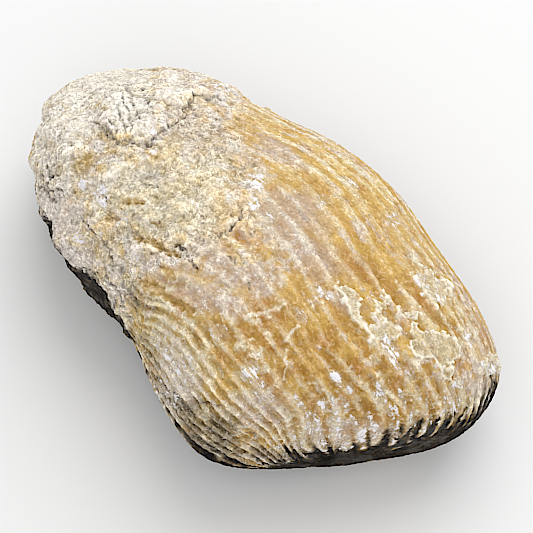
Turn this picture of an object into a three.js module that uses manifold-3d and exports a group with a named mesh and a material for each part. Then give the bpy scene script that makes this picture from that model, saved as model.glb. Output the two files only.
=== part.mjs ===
import * as THREE from 'three';
import { mergeVertices } from 'three/addons/utils/BufferGeometryUtils.js';
import Module from 'manifold-3d';

// A fossil clam with both valves shut, partly hidden under a hard sandy crust. Millimetres, +Z up.
// +X points along the shell to its rounded, ribbed end, and +Y to the thin edge where it opened.

// Sections through the shell, in order from the blunt crusted end to the rounded ribbed end.
// A place along the shell is counted in sections, and a place around it in degrees: 0 is the
// hinge side's seam, 90 the top of the upper valve, 180 the opening side's seam and 270 the bottom.
const sections = [
  // hinge x, y,  opening x, y,  seam height at both,  rise,  drop,  lean,  fan
  [-35.2, -11.6, -35.2, -11.6, 11.5, 11.5, 0.0, 0.0, 0, 0],
  [-30.5, -14.1, -39.8, -6.7, 11.0, 11.5, 5.5, 5.0, 4, 0],
  [-25.1, -16.2, -43.2, -0.1, 10.5, 11.5, 9.5, 7.5, 10, 0],
  [-19.5, -17.5, -42.0, 6.0, 10.0, 11.5, 12.0, 9.0, 16, 0],
  [-14.6, -18.4, -38.1, 11.8, 10.0, 11.5, 13.8, 10.0, 20, 0],
  [-10.1, -18.9, -31.9, 16.4, 10.0, 11.5, 14.8, 10.5, 22, 0],
  [-7.4, -19.6, -24.0, 19.1, 10.0, 11.5, 15.6, 10.8, 22, 0],
  [-5.0, -20.6, -15.0, 20.5, 10.0, 11.5, 16.2, 11.0, 19, 0],
  [-2.0, -22.1, -5.2, 22.5, 10.0, 11.5, 16.6, 11.0, 8, 0],
  [2.0, -23.8, 5.7, 21.9, 10.0, 11.5, 16.8, 11.0, 1.5, 0],
  [6.2, -25.1, 16.6, 18.4, 10.0, 11.5, 16.6, 11.0, 0, 0],
  [10.4, -25.5, 26.7, 14.8, 9.5, 11.5, 16.0, 10.5, 0, 0.3],
  [14.0, -24.1, 33.8, 10.1, 9.0, 11.0, 14.8, 9.2, 0, 1.2],
  [17.0, -21.2, 35.7, 4.7, 8.2, 10.2, 13.0, 7.3, 0, 5],
  [19.3, -18.7, 34.8, -0.4, 7.8, 8.7, 10.8, 4.6, 0, 12],
  [21.2, -16.3, 30.8, -5.8, 7.0, 7.2, 7.2, 1.9, 0, 16],
  [23.9, -12.2, 23.9, -12.2, 5.6, 5.6, 0.0, 0.0, 0, 16],
];
const LAST = sections.length - 1;

// The profile of a section: how far its highest point stands towards the hinge and its lowest
// towards the opening, and how round its shoulder is on the hinge side and the opening side.
const TOP_TOWARDS_HINGE = 0.12;
const BOTTOM_TOWARDS_OPENING = 0.06;
const HINGE_SHOULDER = 0.85;
const OPENING_SHOULDER = 1.05;

// Growth ribs run along the shell, between grooves at these angles. The upper valve's are as worn
// and uneven as they are seen, and the lower valve's are broader and even. Each groove is wider than
// its crest, and ribs that crowd together are lower.
const upperGrooves = [
  0, 10, 16, 22, 30, 36, 42, 48, 54, 60, 67, 76, 82, 87.5, 93, 98.5, 105, 112, 118.5, 125, 133, 139,
  146, 152, 158, 165, 172, 180,
];
const LOWER_RIB_COUNT = 20;
const RIB_HEIGHT = 0.62;
const CREST_SHARPNESS = 1.6;
const CREST_SHARE = 0.35;
const FULL_RIB_SPACING = 1.6;
// They fade out between these places, so that the steep face of the rounded end is smooth.
const RIBS_START_TO_FADE = 13.4;
const RIBS_ARE_GONE = 15.0;

// Growth lines lean back up to an angle on the hinge side, and fan out from a middle angle.
const LEAN_UP_TO = 100;
const FAN_MIDDLE = 78;
const HINGE_SIDE_FAN = 0.45;

// The seam where the two valves meet is a shallow crease on both sides.
const SEAM_DEPTH = 0.6;
const SEAM_HALF_WIDTH = 4;

// The crust's border: how far along the shell it reaches, at each angle around it.
const crustBorder = [
  [0, 5.3],
  [45, 5.3],
  [66, 5.6],
  [78, 8.0],
  [90, 8.3],
  [105, 7.6],
  [125, 6.3],
  [160, 6.0],
  [200, 6.5],
  [290, 7.5],
  [360, 5.3],
];
const CRUST_FADE = 0.9;
// A patch of crust also hides the ribs at the bottom: place along and around, and the radii
// within which it is whole and past which it has ended.
const restPatch = [8.0, 278, 4.5, 8.5];
const CRUST_UNEVENNESS = 0.18;
const SWELL_COUNT = 6;
const LONGEST_SWELL = 11;
const SHORTEST_SWELL = 4.5;
const SWELL_TURN = 2.4;
const SWELL_TILT = 1.7;

// Lumps, plates and hollows: place along and around, radius of the top, radius of the foot, height.
const lumps = [
  // the rough plate near the blunt end's top, with a stepped lower edge
  [4.45, 115, 3.6, 6.0, 0.9],
  [5.0, 131, 3.8, 6.2, 0.9],
  [5.75, 146, 2.8, 5.2, 0.25],
  // the pitted patch at the middle
  [7.3, 95, 2.4, 6.9, 0.5],
  [7.4, 80, 1.2, 4.5, 0.4],
  // the swollen lobe below the blunt end, the hollow under it and the crease above it
  [2.5, 35, 1.2, 6.0, 1.0],
  [3.4, 0, 0.8, 4.4, -0.7],
  [3.6, 62, 0.2, 3.2, -0.7],
  [2.9, 69, 0.2, 3.2, -0.6],
  // the troughs that lead out from under the crust
  [4.7, 74, 0.2, 2.9, -0.6],
  [6.2, 72, 0.2, 2.9, -0.6],
  // swellings and a dent along the outline
  [3.0, 160, 1.0, 7.0, 0.3],
  [3.8, 150, 1.0, 4.9, -1.1],
  [4.9, 160, 1.0, 7.0, 0.2],
  [1.6, 110, 0.5, 7.2, 0.2],
  // chalky scabs on the ribbed end
  [11.8, 128, 1.6, 5.2, 0.4],
  [10.6, 105, 1.0, 4.0, 0.3],
  // lumps and hollows of the underside, the first one being what the fossil rests on
  [8.0, 278, 3.0, 10.5, 0.7],
  [3.2, 250, 1.5, 8.2, -0.9],
  [4.6, 215, 2.0, 8.0, 0.7],
  [6.3, 320, 1.0, 7.0, 0.8],
  [10.6, 225, 1.0, 8.5, -0.6],
  [12.0, 285, 1.0, 6.5, 0.4],
];

// The height, above the lowest point of the plain shell, at which its small resting flat lies.
const FLAT_ABOVE_LOWEST = 0.75;

// Steps along and around the shell that are short enough to find which way its surface faces.
const STEP_ALONG = 0.001;
const STEP_AROUND = 0.01;

// How finely the surface is laid out: places along it, and points around it in each stretch.
const CRUST_END = 4.95;
const CRUST_ROWS = 10;
const CRUST_POINTS = 90;
const RIB_START = 5.45;
const RIB_END = 15.7;
const RIB_ROWS = 22;
const POINTS_PER_UPPER_RIB = 4;
const POINTS_PER_LOWER_RIB = 3;

const { clamp, degToRad, lerp, smoothstep } = THREE.MathUtils;

// All grooves around the shell, the seams at 0 and 180 degrees among them.
const lowerGrooves = Array.from({ length: LOWER_RIB_COUNT }, (_, i) =>
  lerp(180, 360, (i + 1) / LOWER_RIB_COUNT),
);
const grooves = [...upperGrooves, ...lowerGrooves];

// One number of the sections at a place along the shell, on a smooth curve through them all.
function along(place, column) {
  const from = Math.min(Math.floor(place), LAST - 1);
  const t = place - from;
  const at = (index) => {
    if (index < 0) return 2 * sections[0][column] - sections[1][column];
    if (index > LAST) return 2 * sections[LAST][column] - sections[LAST - 1][column];
    return sections[index][column];
  };
  const [before, start, end, after] = [at(from - 1), at(from), at(from + 1), at(from + 2)];
  const slope = end - before;
  const bend = 2 * before - 5 * start + 4 * end - after;
  const twist = 3 * start - before - 3 * end + after;
  return 0.5 * (2 * start + slope * t + bend * t * t + twist * t * t * t);
}

// The true angle of a growth line. The lines crowd at the notch and fan out at the ribbed end.
function lineAngle(around, lean, fan) {
  if (around > 180) return around;
  const leaning = around < LEAN_UP_TO ? Math.sin((Math.PI * around) / LEAN_UP_TO) : 0;
  const below = -HINGE_SIDE_FAN * Math.sin((Math.PI * around) / FAN_MIDDLE);
  const above = Math.sin((Math.PI * (around - FAN_MIDDLE)) / (180 - FAN_MIDDLE));
  return around - lean * leaning + fan * (around < FAN_MIDDLE ? below : above);
}

// A point of the plain shell, without ribs or crust.
function plainPoint(place, around) {
  const [hingeX, hingeY, openX, openY, hingeZ, openZ, rise, drop, lean, fan] =
    sections[0].map((_, column) => along(place, column));
  const angle = degToRad(lineAngle(around, lean, fan));
  const up = Math.sin(angle);
  const shift = up >= 0 ? -TOP_TOWARDS_HINGE : BOTTOM_TOWARDS_OPENING;
  const across = (1 - Math.cos(angle)) / 2 + shift * up * up;
  const shoulder = HINGE_SHOULDER + (OPENING_SHOULDER - HINGE_SHOULDER) * across;
  const reach = Math.max(up >= 0 ? rise : drop, 0) * Math.sign(up);
  return new THREE.Vector3(
    hingeX + (openX - hingeX) * across,
    hingeY + (openY - hingeY) * across,
    hingeZ + (openZ - hingeZ) * across + reach * Math.abs(up) ** shoulder,
  );
}

// The direction out of the plain shell, from two short steps over it.
function outward(place, around) {
  const ahead = plainPoint(Math.min(place + STEP_ALONG, LAST), around);
  const behind = plainPoint(Math.max(place - STEP_ALONG, 0), around);
  const onward = plainPoint(place, around + STEP_AROUND);
  const back = plainPoint(place, around - STEP_AROUND);
  return ahead.sub(behind).cross(onward.sub(back)).normalize();
}

// How much of the crust covers a place, from 0 on the bare shell to 1.
function crustCover(place, around, point) {
  const next = crustBorder.findIndex(([angle]) => angle >= around);
  const [endAngle, endReach] = crustBorder[Math.max(next, 1)];
  const [startAngle, startReach] = crustBorder[Math.max(next, 1) - 1];
  const t = clamp((around - startAngle) / (endAngle - startAngle), 0, 1);
  const reach = lerp(startReach, endReach, t);
  const [patchPlace, patchAround, whole, end] = restPatch;
  const fromPatch = point.distanceTo(plainPoint(patchPlace, patchAround));
  return 1 - smoothstep(place, reach, reach + CRUST_FADE) * smoothstep(fromPatch, whole, end);
}

// Growth ribs: a narrow crest midway between two grooves.
function ribs(place, around) {
  const next = Math.max(grooves.findIndex((angle) => angle >= around), 1);
  const [start, end] = [grooves[next - 1], grooves[next]];
  const spacing = plainPoint(place, start).distanceTo(plainPoint(place, end));
  const wave = 0.5 - 0.5 * Math.cos((2 * Math.PI * (around - start)) / (end - start));
  const crest = wave ** CREST_SHARPNESS - 1 + CREST_SHARE;
  const fading = 1 - smoothstep(place, RIBS_START_TO_FADE, RIBS_ARE_GONE);
  return RIB_HEIGHT * smoothstep(spacing, 0, FULL_RIB_SPACING) * crest * fading;
}

// The crease of the seam, deepest where the valves meet.
function seam(around) {
  const away = Math.min(around, Math.abs(around - 180), 360 - around);
  return -SEAM_DEPTH * (1 - smoothstep(away, 0, SEAM_HALF_WIDTH));
}

// The crust's rolling unevenness: swells of falling length, each in its own direction.
function unevenness(point) {
  let sum = 0;
  for (let i = 0; i < SWELL_COUNT; i += 1) {
    const turn = SWELL_TURN * i;
    const tilt = Math.cos(SWELL_TILT * i);
    const swell = lerp(LONGEST_SWELL, SHORTEST_SWELL, i / (SWELL_COUNT - 1));
    const run = point.x * Math.cos(turn) + point.y * Math.sin(turn) + point.z * tilt;
    sum += Math.sin((2 * Math.PI * run) / swell + i);
  }
  return CRUST_UNEVENNESS * sum;
}

// The lumps with their middles found on the plain shell.
const placedLumps = lumps.map(([place, around, top, foot, height]) => ({
  middle: plainPoint(place, around),
  top,
  foot,
  height,
}));

// How far the lumps raise a point: the highest lump there, less the deepest hollow.
function lumpHeight(point) {
  let highest = 0;
  let deepest = 0;
  for (const { middle, top, foot, height } of placedLumps) {
    const share = 1 - smoothstep(point.distanceTo(middle), top, foot);
    highest = Math.max(highest, share * height);
    deepest = Math.min(deepest, share * height);
  }
  return highest + deepest;
}

// A point of the finished surface.
function surfacePoint(place, around) {
  const point = plainPoint(place, around);
  const cover = crustCover(place, around, point);
  const shellRelief = ribs(place, around) + seam(around);
  const relief = lerp(shellRelief, unevenness(point), cover) + lumpHeight(point);
  return point.addScaledVector(outward(place, around), relief);
}

// The angles of one ring of points, even over the crust and in step with the ribs past it.
function ringAngles(isCrust) {
  const angles = [];
  if (isCrust) {
    for (let i = 0; i < CRUST_POINTS; i += 1) angles.push((360 * i) / CRUST_POINTS);
    return angles;
  }
  for (let rib = 0; rib + 1 < grooves.length; rib += 1) {
    const points = grooves[rib] < 180 ? POINTS_PER_UPPER_RIB : POINTS_PER_LOWER_RIB;
    for (let i = 0; i < points; i += 1) angles.push(lerp(grooves[rib], grooves[rib + 1], i / points));
  }
  return angles;
}

// Joins two rings with a strip of triangles, stepping on whichever ring is behind.
function stitch(faces, first, second) {
  let a = 0;
  let b = 0;
  const angleOf = (ring, index) => (index < ring.angles.length ? ring.angles[index] : 360);
  const corner = (ring, index) => ring.start + (index % ring.angles.length);
  while (a < first.angles.length || b < second.angles.length) {
    const canStepFirst = a < first.angles.length;
    const firstIsBehind = angleOf(first, a + 1) <= angleOf(second, b + 1);
    if (canStepFirst && (firstIsBehind || b === second.angles.length)) {
      faces.push(corner(first, a), corner(second, b), corner(first, a + 1));
      a += 1;
    } else {
      faces.push(corner(first, a), corner(second, b), corner(second, b + 1));
      b += 1;
    }
  }
}

// The whole skin as one closed mesh: a point at each end and rings of points between them.
function shellGeometry() {
  const positions = [];
  const rings = [];
  const addRing = (place, angles) => {
    rings.push({ start: positions.length / 3, angles });
    angles.forEach((around) => positions.push(...surfacePoint(place, around).toArray()));
  };
  positions.push(...plainPoint(0, 0).toArray());
  const crustAngles = ringAngles(true);
  const ribAngles = ringAngles(false);
  for (let i = 1; i <= CRUST_ROWS; i += 1) addRing((CRUST_END * i) / CRUST_ROWS, crustAngles);
  for (let i = 0; i < RIB_ROWS; i += 1) {
    addRing(lerp(RIB_START, RIB_END, i / (RIB_ROWS - 1)), ribAngles);
  }
  const tip = positions.length / 3;
  positions.push(...plainPoint(LAST, 0).toArray());

  const faces = [];
  const [head, tail] = [rings[0], rings[rings.length - 1]];
  head.angles.forEach((_, i) => {
    faces.push(0, head.start + i, head.start + ((i + 1) % head.angles.length));
  });
  for (let i = 0; i + 1 < rings.length; i += 1) stitch(faces, rings[i], rings[i + 1]);
  tail.angles.forEach((_, i) => {
    faces.push(tip, tail.start + ((i + 1) % tail.angles.length), tail.start + i);
  });
  const geometry = new THREE.BufferGeometry();
  geometry.setAttribute('position', new THREE.Float32BufferAttribute(positions, 3));
  geometry.setIndex(faces);
  return geometry;
}

const wasm = await Module();
wasm.setup();

function toSolid(geometry) {
  const bare = geometry.clone();
  bare.deleteAttribute('normal');
  bare.deleteAttribute('uv');
  const merged = mergeVertices(bare);
  return new wasm.Manifold(
    new wasm.Mesh({
      numProp: 3,
      vertProperties: new Float32Array(merged.attributes.position.array),
      triVerts: new Uint32Array(merged.index.array),
    }),
  );
}

function toGeometry(solid) {
  const { vertProperties, triVerts } = solid.getMesh();
  const geometry = new THREE.BufferGeometry();
  geometry.setAttribute('position', new THREE.BufferAttribute(vertProperties, 3));
  geometry.setIndex(new THREE.BufferAttribute(triVerts, 1));
  return geometry;
}

// A block whose top face lies at a height: what it takes away leaves the flat to rest on.
function blockBelow(height, box) {
  const size = box.getSize(new THREE.Vector3());
  const middle = box.getCenter(new THREE.Vector3());
  const block = new THREE.BoxGeometry(size.x * 2, size.y * 2, size.z);
  return block.translate(middle.x, middle.y, height - size.z / 2);
}

function fossil() {
  const shell = shellGeometry();
  shell.computeBoundingBox();
  const flatHeight = shell.boundingBox.min.z + FLAT_ABOVE_LOWEST;
  const cut = toSolid(shell).subtract(toSolid(blockBelow(flatHeight, shell.boundingBox)));
  const geometry = toGeometry(cut);
  geometry.computeBoundingBox();
  const middle = geometry.boundingBox.getCenter(new THREE.Vector3());
  geometry.translate(-middle.x, -middle.y, -geometry.boundingBox.min.z);
  geometry.computeVertexNormals();
  return geometry;
}

const stone = new THREE.MeshStandardMaterial({ color: 0xc9a766, roughness: 0.85, metalness: 0 });
const bivalve = new THREE.Mesh(fossil(), stone);
bivalve.name = 'fossil_bivalve';

const model = new THREE.Group();
model.add(bivalve);

export default model;
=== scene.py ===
import math

import bpy
import numpy as np
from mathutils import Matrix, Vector


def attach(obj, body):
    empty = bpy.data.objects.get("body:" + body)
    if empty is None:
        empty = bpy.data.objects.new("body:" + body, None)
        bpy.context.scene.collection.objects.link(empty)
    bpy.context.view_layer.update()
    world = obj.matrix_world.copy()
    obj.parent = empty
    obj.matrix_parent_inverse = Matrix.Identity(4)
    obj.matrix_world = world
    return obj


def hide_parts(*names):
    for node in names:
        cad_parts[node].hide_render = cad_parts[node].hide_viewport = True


# The fossil clam's fine surface, laid over the same loft as the solid. Shape values are in
# millimetres and become metres when the mesh is made.
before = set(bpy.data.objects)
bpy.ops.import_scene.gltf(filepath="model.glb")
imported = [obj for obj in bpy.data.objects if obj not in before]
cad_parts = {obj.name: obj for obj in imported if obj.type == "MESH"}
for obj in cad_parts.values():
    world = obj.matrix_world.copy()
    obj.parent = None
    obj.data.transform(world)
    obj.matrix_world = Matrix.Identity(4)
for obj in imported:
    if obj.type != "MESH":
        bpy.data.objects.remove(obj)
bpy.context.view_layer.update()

NODE = "fossil_bivalve"
SLOT = "fossil_stone"
PIECE = "fossil_skin"
MM = 0.001

# The camera looks down on the fossil from its hinge side. Photo marks are named in the pixels of
# its 533 by 533 frame, and this camera sets them on the surface.
CAMERA_AZIMUTH = math.radians(42.0)
CAMERA_ELEVATION = math.radians(60.0)
CAMERA_DISTANCE = 260.0
CAMERA_AIM = np.array([3.26, 2.02, 13.0])
PHOTO_MIDDLE = 266.5
PHOTO_SIZE = 533
PIXELS_PER_MM = 7.1
SENSOR_WIDTH = 36.0

# Two soft round lights: azimuth from the camera's far side and elevation in degrees, distance and
# width in metres, watts.
KEY_LIGHT = (-22, 52, 0.6, 0.6, 2.05)
FILL_LIGHT = (175, 42, 0.6, 0.5, 0.85)
SKY_STRENGTH = 0.64
FLOOR_HALF = 1.5
FLOOR_TINT = (236, 236, 236)
FLOOR_ROUGHNESS = 0.9
SHARPENING = 0.15

# Sections of the shell, as in the solid: hinge x, y, opening x, y, seam height at both, rise of
# the upper valve, drop of the lower valve, lean and fan of the growth lines.
SECTIONS = np.array([
    [-35.2, -11.6, -35.2, -11.6, 11.5, 11.5, 0.0, 0.0, 0, 0],
    [-30.5, -14.1, -39.8, -6.7, 11.0, 11.5, 5.5, 5.0, 4, 0],
    [-25.1, -16.2, -43.2, -0.1, 10.5, 11.5, 9.5, 7.5, 10, 0],
    [-19.5, -17.5, -42.0, 6.0, 10.0, 11.5, 12.0, 9.0, 16, 0],
    [-14.6, -18.4, -38.1, 11.8, 10.0, 11.5, 13.8, 10.0, 20, 0],
    [-10.1, -18.9, -31.9, 16.4, 10.0, 11.5, 14.8, 10.5, 22, 0],
    [-7.4, -19.6, -24.0, 19.1, 10.0, 11.5, 15.6, 10.8, 22, 0],
    [-5.0, -20.6, -15.0, 20.5, 10.0, 11.5, 16.2, 11.0, 19, 0],
    [-2.0, -22.1, -5.2, 22.5, 10.0, 11.5, 16.6, 11.0, 8, 0],
    [2.0, -23.8, 5.7, 21.9, 10.0, 11.5, 16.8, 11.0, 1.5, 0],
    [6.2, -25.1, 16.6, 18.4, 10.0, 11.5, 16.6, 11.0, 0, 0],
    [10.4, -25.5, 26.7, 14.8, 9.5, 11.5, 16.0, 10.5, 0, 0.3],
    [14.0, -24.1, 33.8, 10.1, 9.0, 11.0, 14.8, 9.2, 0, 1.2],
    [17.0, -21.2, 35.7, 4.7, 8.2, 10.2, 13.0, 7.3, 0, 5],
    [19.3, -18.7, 34.8, -0.4, 7.8, 8.7, 10.8, 4.6, 0, 12],
    [21.2, -16.3, 30.8, -5.8, 7.0, 7.2, 7.2, 1.9, 0, 16],
    [23.9, -12.2, 23.9, -12.2, 5.6, 5.6, 0.0, 0.0, 0, 16],
])
LAST = len(SECTIONS) - 1
TOP_TOWARDS_HINGE = 0.12
BOTTOM_TOWARDS_OPENING = 0.06
HINGE_SHOULDER = 0.85
OPENING_SHOULDER = 1.05
LEAN_UP_TO = 100.0
FAN_MIDDLE = 78.0
HINGE_SIDE_FAN = 0.45

# Where the solid's frame lies in the sections' own: its middle in plan and its resting flat.
FRAME_MIDDLE = np.array([-3.81, -1.50, -0.47])

# Growth ribs, as in the solid but with sharper crests.
UPPER_GROOVES = [
    0, 10, 16, 22, 30, 36, 42, 48, 54, 60, 67, 76, 82, 87.5, 93, 98.5, 105, 112, 118.5, 125, 133,
    139, 146, 152, 158, 165, 172, 180,
]
LOWER_RIB_COUNT = 20
LOWER_GROOVES = [180 + 180 * (i + 1) / LOWER_RIB_COUNT for i in range(LOWER_RIB_COUNT)]
GROOVES = np.array(UPPER_GROOVES + LOWER_GROOVES)
RIB_HEIGHT = 0.62
CREST_SHARPNESS = 2.8
CREST_SHARE = 0.35
FULL_RIB_SPACING = 1.6
# On the end face the growth lines keep apart: the share of the angle from this line that counts.
END_FACE_LINE = 88.0
END_FACE_SHARE = np.array([
    [0, 1], [11, 1], [12, 0.92], [13, 0.77], [14, 0.55], [14.5, 0.42], [15, 0.3], [15.5, 0.18],
    [16, 0.07],
])
SEAM_DEPTH = 0.6
SEAM_HALF_WIDTH = 4.0
# Fine growth lines between the ribs, so many degrees apart.
LINE_SPACING = 1.6
LINE_HEIGHT = 0.03

# The crust's border and unevenness, as in the solid.
CRUST_BORDER = np.array([
    [0, 5.3], [45, 5.3], [66, 5.6], [78, 8.0], [90, 8.3], [105, 7.6], [125, 6.3], [160, 6.0],
    [200, 6.5], [290, 7.5], [360, 5.3],
])
CRUST_FADE = 0.9
REST_PATCH = (8.0, 278, 4.5, 8.5)
CRUST_UNEVENNESS = 0.18
SWELL_COUNT = 6
LONGEST_SWELL = 11.0
SHORTEST_SWELL = 4.5
SWELL_TURN = 2.4
SWELL_TILT = 1.7

# Sand on the crust and on the bare shell, beside the crust's swells.
SWELLS_UNDER_SAND = 0.8
GRAVEL_HEIGHT = 0.13
GRAIN_HEIGHT = 0.15
PIT_DEPTH = 0.2
SHELL_GRAVEL_HEIGHT = 0.05
SHELL_GRAIN_HEIGHT = 0.06

# Hollows are where the skin lies below its mean height within this reach, on a shell of about
# this length and girth of the upper valve.
HOLLOW_REACH = 0.4
SHELL_LENGTH = 75
UPPER_GIRTH = 45

# Lumps, plates and hollows, as in the solid: place along and around, radius of top and foot,
# height.
LUMPS = [
    (4.45, 115, 3.6, 6.0, 0.9), (5.0, 131, 3.8, 6.2, 0.9), (5.75, 146, 2.8, 5.2, 0.25),
    (7.3, 95, 2.4, 6.9, 0.5), (7.4, 80, 1.2, 4.5, 0.4), (2.5, 35, 1.2, 6.0, 1.0),
    (3.4, 0, 0.8, 4.4, -0.7), (3.6, 62, 0.2, 3.2, -0.7), (2.9, 69, 0.2, 3.2, -0.6),
    (4.7, 74, 0.2, 2.9, -0.6), (6.2, 72, 0.2, 2.9, -0.6), (3.0, 160, 1.0, 7.0, 0.3),
    (3.8, 150, 1.0, 4.9, -1.1), (4.9, 160, 1.0, 7.0, 0.2), (1.6, 110, 0.5, 7.2, 0.2),
    (11.8, 128, 1.6, 5.2, 0.4), (10.6, 105, 1.0, 4.0, 0.3), (8.0, 278, 3.0, 10.5, 0.7),
    (3.2, 250, 1.5, 8.2, -0.9), (4.6, 215, 2.0, 8.0, 0.7), (6.3, 320, 1.0, 7.0, 0.8),
    (10.6, 225, 1.0, 8.5, -0.6), (12.0, 285, 1.0, 6.5, 0.4),
]

# Seeded noise by what it shapes: width of its largest lumps in millimetres, seed, layers, and for
# some the strength of each finer layer in the last.
NOISES = {
    "crust border": (6.0, 11, 2), "crust border detail": (2.2, 13, 3),
    "rib sway": (7.0, 21, 2), "rib sway detail": (1.6, 23, 2),
    "rib height": (5.0, 31, 2), "rib wear": (2.4, 33, 2),
    "rib wear detail": (1.0, 35, 2), "growth lines": (3.0, 37, 1),
    "gravel": (2.4, 41, 2, 0.6), "grains": (0.9, 44, 3, 0.8), "pits": (1.3, 47, 2),
    "ragged across": (0.8, 61, 2), "ragged down": (0.8, 63, 2),
    "broken": (1.0, 65, 2), "wobble": (2.5, 71, 3), "fine": (0.9, 75, 2),
    "broad": (9.0, 81, 3), "patch": (2.2, 85, 2), "far chalk": (3.5, 91, 3),
    "run": (1.1, 93, 3), "veil": (1.4, 111, 4, 0.66), "flecks": (0.7, 121, 2),
    "yellow and rust": (3.2, 131, 3), "specks": (1.6, 141, 3, 0.7),
}

# Marks that the photo shows, in its pixels.
# The crust's stepped plate: its ledge, and the corners that close it behind.
LEDGE = [
    (94, 121), (110, 131), (113, 138), (119, 143), (126, 142), (136, 144), (148, 145), (153, 142),
    (161, 133), (176, 122), (182, 114), (196, 99), (209, 102), (219, 101), (236, 103),
]
PLATE_BACK = [(240, 40), (100, 40), (60, 90)]
LEDGE_REACH = 60
LEDGE_HEIGHT = 0.55
LEDGE_RUN = 42.0
LEDGE_CREASE = 0.2
LEDGE_SHADOW = 0.85

# How many pixels the marks' edges waver.
MARK_WAVER = 2.4
FLAKE_WAVER = 4.5
FINGER_WAVER = 1.4

# Cracks: half width in pixels, depth in millimetres, path. They keep this share of their depth.
CRACK_DEPTH_LEFT = 0.8
CRACKS = [
    (2.3, 0.60, [(37, 185), (45, 192), (52, 177), (47, 167)]),
    (2.0, 0.50, [(38, 172), (44, 180), (47, 196), (54, 203)]),
    (1.5, 0.30, [(112, 100), (117, 112), (124, 125), (128, 138)]),
    (1.4, 0.28, [(121, 93), (125, 108), (131, 121), (134, 134)]),
    (1.5, 0.32, [(103, 112), (111, 124), (119, 137)]),
    (1.4, 0.26, [(131, 100), (135, 112), (141, 125)]),
    (1.6, 0.30, [(127, 84), (129, 98)]),
    (1.6, 0.30, [(143, 92), (146, 104), (152, 112)]),
    (1.9, 0.45, [(45, 192), (54, 189), (62, 192)]),
    (1.7, 0.40, [(52, 177), (60, 174)]),
    (2.4, 0.60, [(47, 213), (52, 227)]),
    (1.4, 0.35, [(40, 205), (48, 214)]),
    (1.5, 0.40, [(75, 217), (87, 225), (100, 235), (107, 250), (112, 265)]),
    (1.4, 0.35, [(60, 257), (77, 265), (102, 275), (115, 290)]),
    (2.0, 0.45, [(105, 270), (120, 298), (127, 317)]),
    (1.2, 0.30, [(98, 190), (106, 197), (104, 206)]),
    (1.5, 0.35, [(177, 245), (185, 250), (192, 262), (197, 272)]),
    (1.7, 0.40, [(220, 236), (230, 230), (240, 222), (242, 212)]),
    (1.3, 0.35, [(227, 257), (235, 262)]),
    (1.0, 0.25, [(139, 180), (147, 184), (158, 187)]),
    (1.2, 0.30, [(94, 121), (104, 131), (110, 138)]),
    (2.0, 0.35, [(247, 284), (249, 287)]),
    (1.6, 0.30, [(490, 374), (497, 386), (489, 398)]),
    (1.2, 0.25, [(150, 370), (160, 382), (173, 393), (187, 411)]),
    (1.1, 0.25, [(156, 389), (168, 398), (180, 413)]),
    (1.2, 0.25, [(189, 395), (199, 402), (210, 403), (221, 407)]),
    (1.0, 0.20, [(165, 386), (163, 397), (168, 400)]),
    (1.1, 0.25, [(247, 432), (256, 438), (263, 449), (270, 455)]),
]

# Amber troughs: half width in pixels, depth, path.
TROUGHS = [
    (3.2, 0.35, [(134, 237), (152, 243), (164, 250), (179, 256)]),
    (4.5, 0.25, [(161, 266), (172, 275)]),
    (3.4, 0.35, [(139, 282), (156, 287), (172, 299), (192, 311)]),
    (2.2, 0.25, [(127, 202), (143, 202)]),
    (2.0, 0.20, [(151, 223), (160, 224)]),
    (2.4, 0.25, [(108, 220), (118, 219)]),
]

# Thin raised veins and bright rims: half width in pixels, height, path.
VEINS = [
    (2.0, 0.15, [(245, 318), (262, 313), (278, 309), (287, 303)]),
    (1.3, 0.15, [(285, 341), (292, 333), (300, 325)]),
    (1.3, 0.12, [(283, 380), (286, 366), (288, 350)]),
    (1.6, 0.20, [(141, 247), (152, 249), (162, 253)]),
    (1.4, 0.15, [(142, 295), (160, 300), (176, 309)]),
]

# Thin chalky flakes on the ribs: height, whiteness, outline.
FLAKES = [
    (0.26, 0.35, [(335, 288), (339, 284), (350, 287), (356, 293), (361, 302), (358, 308),
        (359, 316), (366, 324), (361, 327), (353, 320), (348, 310), (341, 300)]),
    (0.26, 0.40, [(369, 304), (376, 299), (382, 296), (386, 291), (389, 298), (387, 308),
        (383, 314), (385, 323), (377, 326), (372, 316), (376, 309)]),
    (0.22, 0.35, [(362, 324), (378, 326), (388, 320), (398, 324), (402, 333), (394, 341),
        (382, 339), (374, 343), (366, 334)]),
    (0.22, 0.40, [(394, 308), (400, 305), (400, 312), (408, 314), (415, 310), (421, 313),
        (420, 320), (411, 319), (399, 318)]),
    (0.28, 0.20, [(408, 327), (416, 324), (423, 332), (433, 332), (444, 335), (454, 339),
        (460, 348), (458, 357), (450, 364), (452, 373), (457, 384), (448, 381), (441, 370),
        (434, 361), (424, 359), (414, 358), (408, 349), (411, 338)]),
    (0.25, 0.65, [(414, 273), (420, 269), (429, 270), (438, 277), (448, 283), (453, 291),
        (447, 297), (441, 304), (436, 308), (430, 299), (423, 290), (417, 283)]),
    (0.25, 0.75, [(480, 372), (484, 361), (492, 354), (498, 362), (497, 373), (488, 377)]),
]
FLAKE_REACH = 12

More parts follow.
